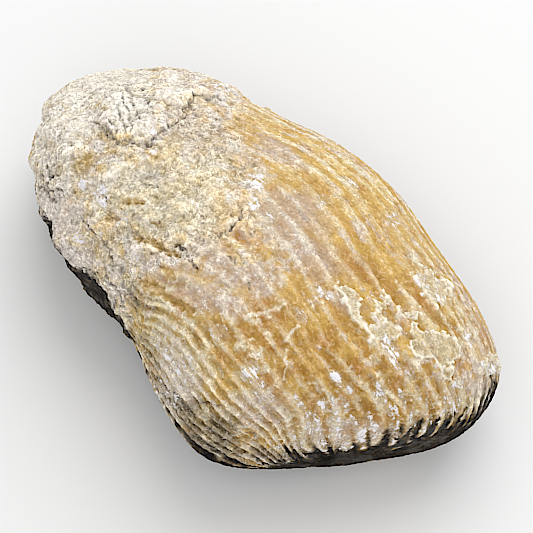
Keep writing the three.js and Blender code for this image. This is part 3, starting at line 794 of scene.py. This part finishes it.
def fine_skin():
    """The finely laid surface, and the fields that its colours are made from."""
    places = np.linspace(0.0, LAST, ROWS + 2)[1:-1]
    upper = np.linspace(0, 180, UPPER_COLUMNS, endpoint=False)
    lower = np.linspace(180, 360, LOWER_COLUMNS, endpoint=False)
    angles = np.concatenate([upper, lower])
    place, around = places[:, None], angles[None, :]
    grid = plain(places, angles)
    shape = grid.shape[:2]
    normal = outward(grid)
    flat = grid.reshape(-1, 3)

    def field(name):
        return layered(flat, name).reshape(shape)

    waver = 0.5 * field("crust border") + 0.55 * field("crust border detail")
    cover = crust_cover(places, angles, grid, waver)
    depth = depth_past_shade_border(places, angles, grid)
    sway = 0.9 * field("rib sway") + 0.35 * field("rib sway detail")
    swayed = around + sway * smoothstep(from_seam(around), 2, 10)
    line = growth_line(places, np.clip(swayed, 0, 359.9))
    wave, index = rib_wave(line)
    full = smoothstep(rib_spacing(places, index), 0, FULL_RIB_SPACING)
    crest = wave**CREST_SHARPNESS - 1 + CREST_SHARE
    ribs = RIB_HEIGHT * rib_strength(place, around, depth, index, field) * full * crest
    lines = np.sin(2 * np.pi * line / LINE_SPACING + 3 * field("growth lines"))

    gravel, grains = field("gravel"), field("grains")
    pits = smoothstep(field("pits"), 0.42, 0.85)
    crust = SWELLS_UNDER_SAND * unevenness(grid) + GRAVEL_HEIGHT * gravel + GRAIN_HEIGHT * grains
    crust = crust - PIT_DEPTH * pits
    creased = seam(around) * (1 - 0.6 * smoothstep(place, 9, 13))
    shell = ribs + LINE_HEIGHT * lines * full + creased
    shell = shell + SHELL_GRAIN_HEIGHT * grains + SHELL_GRAVEL_HEIGHT * gravel
    relief = shell + (crust - shell) * cover + lump_height(grid)

    facing = smoothstep(normal.reshape(-1, 3) @ camera_axes()[2], 0.02, 0.15)
    ragged = [field(name).ravel() for name in ("ragged across", "ragged down", "broken")]
    height, dark, amber, white, scab, rim = mark_relief(flat - FRAME_MIDDLE, facing, ragged)
    relief = relief + height.reshape(shape)

    near_rows = int(HOLLOW_REACH * ROWS / SHELL_LENGTH)
    near_columns = int(HOLLOW_REACH * UPPER_COLUMNS / UPPER_GIRTH)
    mean = blurred(blurred(relief, near_rows, near_columns), near_rows, near_columns)
    points = grid + normal * relief[..., None] - FRAME_MIDDLE
    points[..., 2] = np.maximum(points[..., 2], 0.0)
    return points, {
        "rib": wave * full, "crust": cover, "hollow": relief - mean, "dark": dark, "amber": amber,
        "white": white, "scab": scab, "rim": rim, "past_shade_border": depth,
        "place": np.broadcast_to(place, shape), "angle": line,
        "around": np.broadcast_to(around, shape),
    }


def store(mesh, key, values, kind="FLOAT", part="value"):
    layer = mesh.attributes.new(key, kind, "POINT")
    layer.data.foreach_set(part, values.astype(np.float32).ravel())


def read(mesh, key):
    values = np.empty(len(mesh.vertices), np.float32)
    mesh.attributes[key].data.foreach_get("value", values)
    return values.astype(float)


def dense_mesh(name):
    """The whole skin as one closed mesh, and how many triangles it has."""
    points, fields = fine_skin()
    rows, columns = points.shape[:2]
    tips = spot(0, 0) - FRAME_MIDDLE, spot(LAST, 0) - FRAME_MIDDLE
    vertices = np.vstack([points.reshape(-1, 3), *tips]) * MM
    first = (np.arange(rows - 1) * columns)[:, None]
    ahead = first + columns
    here = np.arange(columns)[None, :]
    onward = (here + 1) % columns
    quads = np.stack([first + here, ahead + here, ahead + onward, first + onward], -1)
    quad_count = (rows - 1) * columns
    head, tail = rows * columns, rows * columns + 1
    fan_head = np.stack([np.full(columns, head), here[0], onward[0]], -1)
    fan_tail = np.stack([np.full(columns, tail), quad_count + onward[0], quad_count + here[0]], -1)
    corners = np.concatenate([quads.ravel(), fan_head.ravel(), fan_tail.ravel()])
    fan_starts = quad_count * 4 + np.arange(2 * columns) * 3
    starts = np.concatenate([np.arange(quad_count) * 4, fan_starts])
    mesh = bpy.data.meshes.new(name)
    mesh.vertices.add(len(vertices))
    mesh.vertices.foreach_set("co", vertices.astype(np.float32).ravel())
    mesh.loops.add(len(corners))
    mesh.loops.foreach_set("vertex_index", corners.astype(np.int32))
    mesh.polygons.add(len(starts))
    mesh.polygons.foreach_set("loop_start", starts.astype(np.int32))
    mesh.update(calc_edges=True)
    for key, field in fields.items():
        store(mesh, key, np.concatenate([field.ravel(), [field[0].mean(), field[-1].mean()]]))
    return mesh, 2 * quad_count + 2 * columns


def put_in_scene(name, data):
    thing = bpy.data.objects.new(name, data)
    bpy.context.scene.collection.objects.link(thing)
    return thing


def thinned(mesh, count):
    """The mesh with about TRIANGLES faces, keeping most where the relief is sharpest."""
    source = put_in_scene("dense", mesh)
    modifier = source.modifiers.new("thin", "DECIMATE")
    modifier.ratio = TRIANGLES / count
    graph = bpy.context.evaluated_depsgraph_get()
    result = bpy.data.meshes.new_from_object(source.evaluated_get(graph))
    bpy.data.objects.remove(source)
    bpy.data.meshes.remove(mesh)
    return result


# Colours

def linear(red, green, blue):
    value = np.array([red, green, blue]) / 255.0
    return np.where(value <= 0.04045, value / 12.92, ((value + 0.055) / 1.055) ** 2.4)


def mix(base, colour, share):
    return base + (linear(*colour) - base) * np.clip(share, 0, 1)[:, None]


class Skin:
    """The thinned skin's points, where they lie, and the noise that their colours share."""

    def __init__(self, mesh):
        self.mesh = mesh
        self.points = self.vectors(mesh.vertices, "co") / MM
        normals = self.vectors(mesh.vertex_normals, "vector")
        self.x, self.y = seen_at(self.points)
        self.towards = normals @ camera_axes()[2]
        self.facing = smoothstep(self.towards, 0.0, 0.2)
        self.rib, self.depth = read(mesh, "rib"), read(mesh, "past_shade_border")
        self.place, self.around = read(mesh, "place"), read(mesh, "around")
        self.wobble = self.noise("wobble")
        self.fine = self.noise("fine")
        self.broad = self.noise("broad")
        self.patch = self.noise("patch")
        flow = [self.place * 0.8, read(mesh, "angle") * 0.35, np.zeros(len(self.points))]
        self.flow = np.stack(flow, -1)
        self.run = layered(self.flow, "run")
        upper = self.around < 180
        dry = smoothstep(self.place, 5.2, 6.4) * smoothstep(self.around, 108, 128) * upper
        thin = 0.75 * dry * smoothstep(self.wobble, -0.5, 0.3)
        self.crust = read(mesh, "crust") * (1 - thin)
        self.crest = smoothstep(self.rib**1.8 + 0.6 * self.fine + 0.8 * self.run, 0.55, 1.1)
        self.bold = 0.65 + 0.35 * smoothstep(self.place, 9.0, 12.5)
        self.slope = (1 - smoothstep(self.around, 50, 75)) * upper
        self.smooth = faint_ribs(self.place, self.around)

    def vectors(self, items, key):
        values = np.empty(len(items) * 3, np.float32)
        items.foreach_get(key, values)
        return values.reshape(-1, 3).astype(float)

    def noise(self, name):
        return layered(self.points, name)

    def plain(self, colour):
        return np.broadcast_to(linear(*colour), self.points.shape)

    def near(self, place, waver, end=1.4):
        """How fully each point belongs to an oval place in the photo: 1 in it and 0 far off."""
        return 1 - smoothstep(oval(self.x, self.y, *place) + waver, 0.5, end)


def tinted(s, base, weight):
    for *place, tint, strength in TINTS:
        share = s.near(place, 0.35 * s.wobble + 0.15 * s.patch, 1.3) * s.facing * weight
        base = mix(base, TINT_COLOURS[tint], strength * share)
    return base


def shell_colour(s):
    """The bare shell: amber ground under a pale skin that is worn off the grooves. Also returns
    how fully that skin covers each point."""
    amber = TINT_COLOURS["deep amber"]
    groove = smoothstep(0.42 - s.rib + 0.35 * s.fine, 0.0, 0.4)
    colour = mix(s.plain(GROOVE_TINT), TINT_COLOURS["gold"], 0.6 * smoothstep(s.broad, -0.3, 0.5))
    colour = mix(colour, amber, 0.5 * smoothstep(-s.broad + 0.3 * s.wobble, 0.1, 0.7))
    colour = tinted(s, colour, 1 - s.crust)
    colour = mix(colour, amber, 0.75 * s.bold * groove * (1 - 0.5 * smoothstep(s.around, 120, 150)))
    colour = mix(colour, amber, 0.6 * smoothstep(-s.patch, 0.1, 0.5))
    colour = mix(colour, GOLD_GROUND, 0.55 * s.smooth)
    blend = s.noise("yellow and rust")
    colour = mix(colour, YELLOW_TINT, 0.5 * smoothstep(blend, 0.1, 0.6))
    colour = mix(colour, RUST_TINT, 0.5 * smoothstep(-blend, 0.1, 0.7) * (1 - 0.5 * s.smooth))
    lilac = np.zeros(len(s.points))
    for place in LILAC_PLACES:
        lilac = np.maximum(lilac, s.near(place, 0.3 * s.wobble) * s.facing)
    colour = mix(colour, TINT_COLOURS["rosy grey"], 0.8 * lilac)

    thick = sum(amount * s.near(place, 0.3 * s.wobble) for *place, amount in VEILS) * s.facing
    veil = (0.9 - 0.35 * s.smooth) * s.noise("veil") + (0.45 + 0.35 * s.smooth) * s.run
    veil = veil + 0.35 * (s.rib - 0.5) + 0.8 * thick + 0.2 * s.broad + 0.25 * s.slope
    veil = veil + 0.35 * smoothstep(s.depth, -4.0, -0.5)
    pale = mix(s.plain(PALE_SKIN), GOLD_SKIN, s.smooth)
    pale = mix(pale, LILAC_SKIN, np.maximum(smoothstep(s.broad + 0.8 * s.wobble, 0.0, 0.6), lilac))
    cover = smoothstep(veil, -0.1, 0.4) * (1 - s.crust)
    colour = colour + (pale - colour) * (SKIN_STRENGTH * cover)[:, None]
    flecked = smoothstep(veil + 0.6 * s.noise("flecks"), 0.55, 0.9) * (1 - s.crust)
    colour = mix(colour, FLECK_TINT, 0.55 * flecked)
    colour = mix(colour, CREST_TINT, 0.5 * s.bold * s.crest)
    colour = mix(colour, TINT_COLOURS["olive"], 0.6 * s.slope * groove * (1 - s.crust))
    return mix(colour, SCAB_TINT, 0.85 * read(s.mesh, "scab")), cover


def sand_colour(s):
    """The sandy crust: cream, with straw, ochre, lilac and white places."""
    yellow = smoothstep(s.broad + 0.5 * s.wobble, 0.1, 0.7)
    violet = smoothstep(-s.broad + 0.5 * s.wobble, 0.1, 0.7)
    straw = smoothstep(-s.patch + 0.4 * s.wobble, 0.1, 0.6)
    sand = mix(s.plain(CRUST_TINT), TINT_COLOURS["yellow crust"], 0.5 * yellow)
    sand = mix(sand, TINT_COLOURS["violet grey"], 0.5 * violet)
    sand = mix(sand, TINT_COLOURS["straw"], 0.7 * straw)
    speck = s.noise("specks")
    sand = mix(sand, OCHRE_SPECK, 0.6 * smoothstep(speck, 0.1, 0.6))
    sand = mix(sand, LILAC_SPECK, 0.6 * smoothstep(-speck, 0.1, 0.6))
    sand = tinted(s, sand, s.crust)
    return mix(sand, TINT_COLOURS["white crust"], 0.45 * smoothstep(s.patch, 0.1, 0.6))


def shade_shares(s):
    """How far the painted shade's border is moved at the fingers, how fully each point lies in that
    shade and how deep under the edge, and how much painted shade the grooves and lower edge get."""
    right = smoothstep(s.around, 90, 120)
    uneven = np.clip(0.75 + 1.2 * s.patch, 0.1, 1.5)
    finger = s.rib**(1.2 + 5.0 * right) * uneven - 0.3 + 0.15 * right
    finger = finger * (1 - 0.7 * smoothstep(s.place, 15.1, 15.7)) * (1 - s.crust)
    moved = np.zeros(len(s.points))
    ragged = s.x + FINGER_WAVER * s.fine, s.y + FINGER_WAVER * s.patch
    for here, amount, share in strokes(FINGERS, *ragged, s.facing, 0.4, 1.6):
        share = amount * share
        moved[here] = np.where(np.abs(share) > np.abs(moved[here]), share, moved[here])
    border = s.depth - (3.2 - 0.8 * right) * finger + (1.0 + 1.5 * s.crust) * s.wobble
    border = border + 1.3 * s.fine + 1.3 * s.run * (1 - s.crust) - moved
    shade_share = smoothstep(border, -1.2, 1.8)
    deep = smoothstep(s.depth + 2 * s.wobble, 13.0, 20.0)

    turned = smoothstep(s.towards, -0.15, 0.05)
    groove_shade = np.zeros(len(s.points))
    for *place, strength in SHADED_GROOVE_PLACES:
        groove_shade = np.maximum(groove_shade, strength * s.near(place, 0.3 * s.wobble) * turned)
    flank_shade = groove_shade * smoothstep(groove_shade + 0.5 * s.wobble + 0.5 * s.patch, 0.2, 0.8)
    even = s.rib + (0.5 - s.rib) * smoothstep(s.place, 14.9, 15.6)
    in_groove = 0.5 - 0.85 * even + 0.6 * s.fine + 0.7 * s.run + 0.4 * s.wobble
    return moved, shade_share, deep, groove_shade * smoothstep(in_groove, 0.05, 0.45), flank_shade


def paint(mesh):
    """Sets each vertex's colour, chalk and other shares from its place, relief and marks."""
    s = Skin(mesh)
    colour, cover = shell_colour(s)
    colour = colour + (sand_colour(s) - colour) * s.crust[:, None]
    colour = mix(colour, TROUGH_TINT, 0.85 * read(mesh, "amber"))
    colour = mix(colour, RIM_TINT, 0.9 * read(mesh, "rim"))

    chalk = read(mesh, "white")
    for *place, strength in CHALK:
        share = s.near(place, 0.5 * s.fine + 0.3 * s.patch, 1.9)
        chalk = np.maximum(chalk, strength * share * s.facing)
    colour = mix(colour, CHALK_GROUND, 0.5 * smoothstep(chalk, 0.0, 0.6))
    elsewhere = (1 - s.facing) * smoothstep(s.noise("far chalk") + 0.4 * s.crest, 0.3, 0.8)
    chalk = np.maximum(chalk, 0.8 * elsewhere * (1 - s.crust))
    in_places = smoothstep(s.wobble + 0.5 * s.broad, -0.2, 0.5)
    chalk = np.maximum(chalk, 0.3 * s.bold * s.crest * in_places)

    moved, shade_share, deep, groove_shade, flank_shade = shade_shares(s)
    # Just above the painted shade's border the grooves are painted brown and the crests chalky;
    # where a finger lifts the border its groove is painted amber and brown. The brown is painted
    # shade reaching up the grooves.
    rim = smoothstep(s.depth, -5.0, 0.0) * (1 - s.crust)
    dip = 0.25 * np.clip(-moved, 0, 3)
    brown = TINT_COLOURS["brown"]
    colour = mix(colour, brown, 0.75 * rim * smoothstep(0.7 - s.rib + 0.3 * s.fine, 0.0, 0.5))
    colour = mix(colour, TINT_COLOURS["deep amber"], dip)
    colour = mix(colour, brown, dip * smoothstep(s.depth, -5.0, -1.0))
    # Painted shade along the lower edge: browner over those places, darker in their grooves.
    colour = mix(colour, FLANK_SHADE_TINT, 0.7 * flank_shade)
    colour = mix(colour, GROOVE_SHADE_TINT, 0.8 * groove_shade)
    chalk = np.maximum(chalk, 0.65 * rim * s.crest)
    chalk = np.maximum(chalk, 0.22 * np.clip(moved, 0, 3.5))
    # The near-black band below the edge is painted shade, mottled slate and, on the crust, umber;
    # farther under the edge it gives way to the dark brown underside, lighter on the crests.
    mottled = s.patch + 0.5 * s.run + 0.4 * s.fine
    shade_band = mix(s.plain(SHADE_BLACK), SHADE_SLATE, 0.36 * smoothstep(mottled, 0.0, 0.5))
    shade_band = mix(shade_band, SHADE_UMBER, 0.8 * s.crust * smoothstep(mottled, -0.05, 0.6))
    colour = colour + (shade_band - colour) * (0.97 * shade_share * (1 - deep))[:, None]
    colour = mix(colour, UNDERSIDE_TINT, deep * (0.85 - 0.35 * s.crest - 0.3 * s.crust))
    # Cracks and the ledge's foot are painted darker: painted shade in them.
    colour = mix(colour, CRACK_SHADE_TINT, 0.7 * read(mesh, "dark"))
    chalk = chalk * (1 - 0.9 * shade_share * (1 - 0.6 * deep)) * (1 - 0.7 * groove_shade)

    crust = s.crust[:, None]
    # Hollows are painted darker, a warm painted shade on the shell, and raised places lighter, a
    # painted highlight.
    shade = np.clip((0.9 + 0.7 * crust) * read(mesh, "hollow")[:, None], -0.6, 0.3)
    warm = 1 + (1 - 0.7 * crust) * SHADOW_WARMTH * (shade < 0)
    colour = colour + GREYING * (colour @ LUMINANCE - colour.T).T
    colour = np.clip(GROUND_DEPTH * colour * np.exp(shade * warm), 0, 1)
    rgba = np.concatenate([colour, np.ones((len(colour), 1))], axis=1)
    store(mesh, "tint", rgba, "FLOAT_COLOR", "color")
    store(mesh, "chalk", np.clip(chalk, 0, 1))
    store(mesh, "pale", np.maximum(cover, s.crust))
    # How fully each point lies in the painted shade band.
    store(mesh, "shaded_share", np.clip(shade_share * (1 - 0.7 * deep), 0, 1))
    store(mesh, "flow", s.flow, "FLOAT_VECTOR", "vector")


# Materials

class Nodes:
    """Short calls that add shader nodes and link them."""

    def __init__(self, material):
        material.use_nodes = True
        self.tree = material.node_tree
        self.shader = self.tree.nodes["Principled BSDF"]

    def put(self, socket, value):
        if isinstance(value, bpy.types.NodeSocket):
            self.tree.links.new(value, socket)
        else:
            socket.default_value = value

    def node(self, kind, output, inputs, **settings):
        """A new node with its settings and inputs, by its output."""
        node = self.tree.nodes.new("ShaderNode" + kind)
        for key, value in settings.items():
            setattr(node, key, value)
        for key, value in inputs.items():
            self.put(node.inputs[key], value)
        return node.outputs[output]

    def attribute(self, key, output="Fac"):
        return self.node("Attribute", output, {}, attribute_name=key)

    def noise(self, place, grain, detail=3.0, roughness=0.6, distortion=0.0):
        return self.node("TexNoise", "Fac", {
            "Vector": place, "Scale": 1.0 / grain, "Detail": detail, "Roughness": roughness,
            "Distortion": distortion,
        })

    def ramp(self, value, low, high, bottom=0.0, top=1.0):
        return self.node("MapRange", "Result", {
            "Value": value, "From Min": low, "From Max": high, "To Min": bottom, "To Max": top,
        }, interpolation_type="SMOOTHSTEP")

    def maths(self, operation, first, *others):
        for second in others:
            first = self.node("Math", 0, {0: first, 1: second}, operation=operation)
        return first

    def plus(self, *values):
        return self.maths("ADD", *values)

    def minus(self, *values):
        return self.maths("SUBTRACT", *values)

    def times(self, *values):
        return self.maths("MULTIPLY", *values)

    def most(self, *values):
        return self.maths("MAXIMUM", *values)

    def mix(self, share, first, second, blend="MIX"):
        inputs = {0: share, 6: first, 7: second}
        return self.node("Mix", 2, inputs, data_type="RGBA", blend_type=blend)


def rgb(colour):
    return (*linear(*colour), 1.0)


def stone_material():
    """The mesh's own paint, with grain, threads, flecks and chalk that are too fine for it."""
    material = bpy.data.materials.new(SLOT)
    n = Nodes(material)
    place = n.node("TexCoord", "Object", {})
    flow, tint = n.attribute("flow", "Vector"), n.attribute("tint", "Color")
    crust, chalk, pale = n.attribute("crust"), n.attribute("chalk"), n.attribute("pale")
    # Pale mottle, threads and flecks fade out in the painted shade band.
    unshaded = n.ramp(n.attribute("shaded_share"), 0.0, 0.6, 1.0, 0.05)

    def by_crust(shell, crusted):
        """A number that is one thing on the bare shell and another on the crust."""
        return n.ramp(crust, 0.0, 1.0, shell, crusted)

    def thread(grain, width, distortion):
        """Thin winding lines, where the noise crosses its middle."""
        value = n.minus(n.noise(place, grain, 2.0, 0.55, distortion), 0.5)
        return n.ramp(n.maths("ABSOLUTE", value, 0.0), 0.0, width, 1.0, 0.0)

    grain = n.noise(place, 0.00045, 3.0, 0.65)
    lumps = n.noise(place, 0.0013, 3.0, 0.6, 0.6)
    streaks = n.noise(flow, 0.4, 3.0, 0.65)
    mottle = n.plus(n.times(grain, 0.4), n.times(lumps, 0.35), n.times(streaks, 0.25))
    shadowed = n.mix(1.0, tint, n.mix(crust, SHELL_SHADOW, CRUST_SHADOW), "MULTIPLY")
    darker = n.times(n.ramp(mottle, 0.37, 0.5, 1.0, 0.0), by_crust(0.6, 1.0))
    colour = n.mix(darker, tint, shadowed)
    lighter = n.times(n.ramp(mottle, 0.5, 0.6), by_crust(0.4, 1.1), unshaded)
    colour = n.mix(lighter, colour, MOTTLE_LIGHT, "ADD")

    patches = n.ramp(n.noise(place, 0.003, 2.0), 0.45, 0.58, 0.05, 0.6)
    patches = n.times(patches, n.ramp(pale, 0.1, 0.7, 0.05, 1.0), by_crust(1.0, 1.6))
    crest = n.ramp(n.attribute("rib"), 0.5, 0.95, 0.0, 0.8)
    amount = n.most(patches, n.times(crest, 0.4), n.times(n.attribute("scab"), 0.6))
    pale_thread = n.most(thread(0.0024, 0.035, 1.4), n.times(thread(0.0012, 0.05, 1.2), 0.5))
    pale_thread = n.times(pale_thread, n.times(amount, unshaded))
    colour = n.mix(pale_thread, colour, THREAD_LIGHT, "ADD")
    fleck = n.ramp(n.noise(place, 0.0006, 2.0, 0.5, 0.5), 0.57, 0.66)
    fleck = n.times(fleck, unshaded, n.ramp(pale, 0.1, 0.8, 0.5, 1.0))
    colour = n.mix(fleck, colour, FLECK_LIGHT, "ADD")

    dark_patches = n.ramp(n.noise(place, 0.0026, 2.0, 0.5, 0.5), 0.5, 0.62)
    dark_thread = n.times(thread(0.0011, 0.03, 1.6), dark_patches, by_crust(0.4, 0.65))
    dark_tint = n.mix(crust, rgb(SHELL_THREAD_TINT), rgb(CRUST_THREAD_TINT))
    colour = n.mix(dark_thread, colour, dark_tint)

    spots = n.times(n.minus(n.noise(place, 0.0011, 4.0, 0.65, 0.3), 0.5), by_crust(4.2, 5.0))
    streaked = n.times(n.minus(n.noise(flow, 0.35, 3.0, 0.6), 0.5), by_crust(3.0, 0.0))
    white = n.ramp(n.plus(spots, streaked, n.times(chalk, 0.9)), 0.45, 1.1)
    white = n.times(white, n.ramp(chalk, 0.05, 0.4))
    colour = n.mix(n.times(white, 0.9), colour, rgb(CHALK_TINT))

    height = n.plus(n.times(grain, by_crust(0.6, 1.0)), white, n.times(pale_thread, 0.6))
    height = n.minus(height, n.times(dark_thread, 0.6))
    bump = {"Strength": BUMP_STRENGTH, "Distance": BUMP_HEIGHT, "Height": height}
    for key, value in {
        "Base Color": colour, "Roughness": STONE_ROUGHNESS, "Specular IOR Level": STONE_SPECULAR,
        "Normal": n.node("Bump", "Normal", bump),
    }.items():
        n.put(n.shader.inputs[key], value)
    return material


# Camera, lights and floor

def aim(thing, place, back):
    """Sets a camera or light at a place in metres, with its back that way."""
    thing.location = [float(v) for v in place]
    turned = Vector([float(v) for v in back]).to_track_quat("Z", "Y")
    thing.rotation_euler = turned.to_euler()


def add_camera():
    back = camera_axes()[2]
    data = bpy.data.cameras.new("camera")
    data.sensor_width = SENSOR_WIDTH
    data.lens = SENSOR_WIDTH * CAMERA_DISTANCE * PIXELS_PER_MM / PHOTO_SIZE
    camera = put_in_scene("camera", data)
    aim(camera, (CAMERA_AIM + back * CAMERA_DISTANCE) * MM, back)
    bpy.context.scene.camera = camera


def add_light(name, azimuth, elevation, distance, size, watts):
    a = CAMERA_AZIMUTH + math.radians(azimuth)
    e = math.radians(elevation)
    back = np.array([-math.sin(a) * math.cos(e), math.cos(a) * math.cos(e), math.sin(e)])
    data = bpy.data.lights.new(name, "AREA")
    data.shape = "DISK"
    data.size = size
    data.energy = watts
    aim(put_in_scene(name, data), CAMERA_AIM * MM + back * distance, back)


def add_floor():
    mesh = bpy.data.meshes.new("floor")
    half = FLOOR_HALF
    corners = [(-half, -half, 0), (half, -half, 0), (half, half, 0), (-half, half, 0)]
    mesh.from_pydata(corners, [], [(0, 1, 2, 3)])
    floor = put_in_scene("floor", mesh)
    material = bpy.data.materials.new("floor_paper")
    paper = Nodes(material)
    paper.put(paper.shader.inputs["Base Color"], rgb(FLOOR_TINT))
    paper.put(paper.shader.inputs["Roughness"], FLOOR_ROUGHNESS)
    mesh.materials.append(material)


def add_world():
    world = bpy.data.worlds.new("studio")
    world.use_nodes = True
    background = world.node_tree.nodes["Background"]
    background.inputs["Color"].default_value = (1.0, 1.0, 1.0, 1.0)
    background.inputs["Strength"].default_value = SKY_STRENGTH
    bpy.context.scene.world = world
    bpy.context.scene.view_settings.view_transform = "Standard"


def crisp_picture():
    """A mild sharpening of the picture, as in the photograph."""
    scene = bpy.context.scene
    scene.use_nodes = True
    tree = scene.node_tree
    tree.nodes.clear()
    layers = tree.nodes.new("CompositorNodeRLayers")
    sharpen = tree.nodes.new("CompositorNodeFilter")
    sharpen.filter_type = "SHARPEN"
    sharpen.inputs["Fac"].default_value = SHARPENING
    result = tree.nodes.new("CompositorNodeComposite")
    tree.links.new(layers.outputs["Image"], sharpen.inputs["Image"])
    tree.links.new(sharpen.outputs["Image"], result.inputs["Image"])


skin_mesh = thinned(*dense_mesh(PIECE))
skin_mesh.name = PIECE
skin_mesh.polygons.foreach_set("use_smooth", np.ones(len(skin_mesh.polygons), bool))
paint(skin_mesh)
skin_mesh.materials.append(stone_material())
piece = put_in_scene(PIECE, skin_mesh)
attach(piece, "root")
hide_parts(NODE)

add_camera()
add_light("key", *KEY_LIGHT)
add_light("fill", *FILL_LIGHT)
add_floor()
add_world()
crisp_picture()
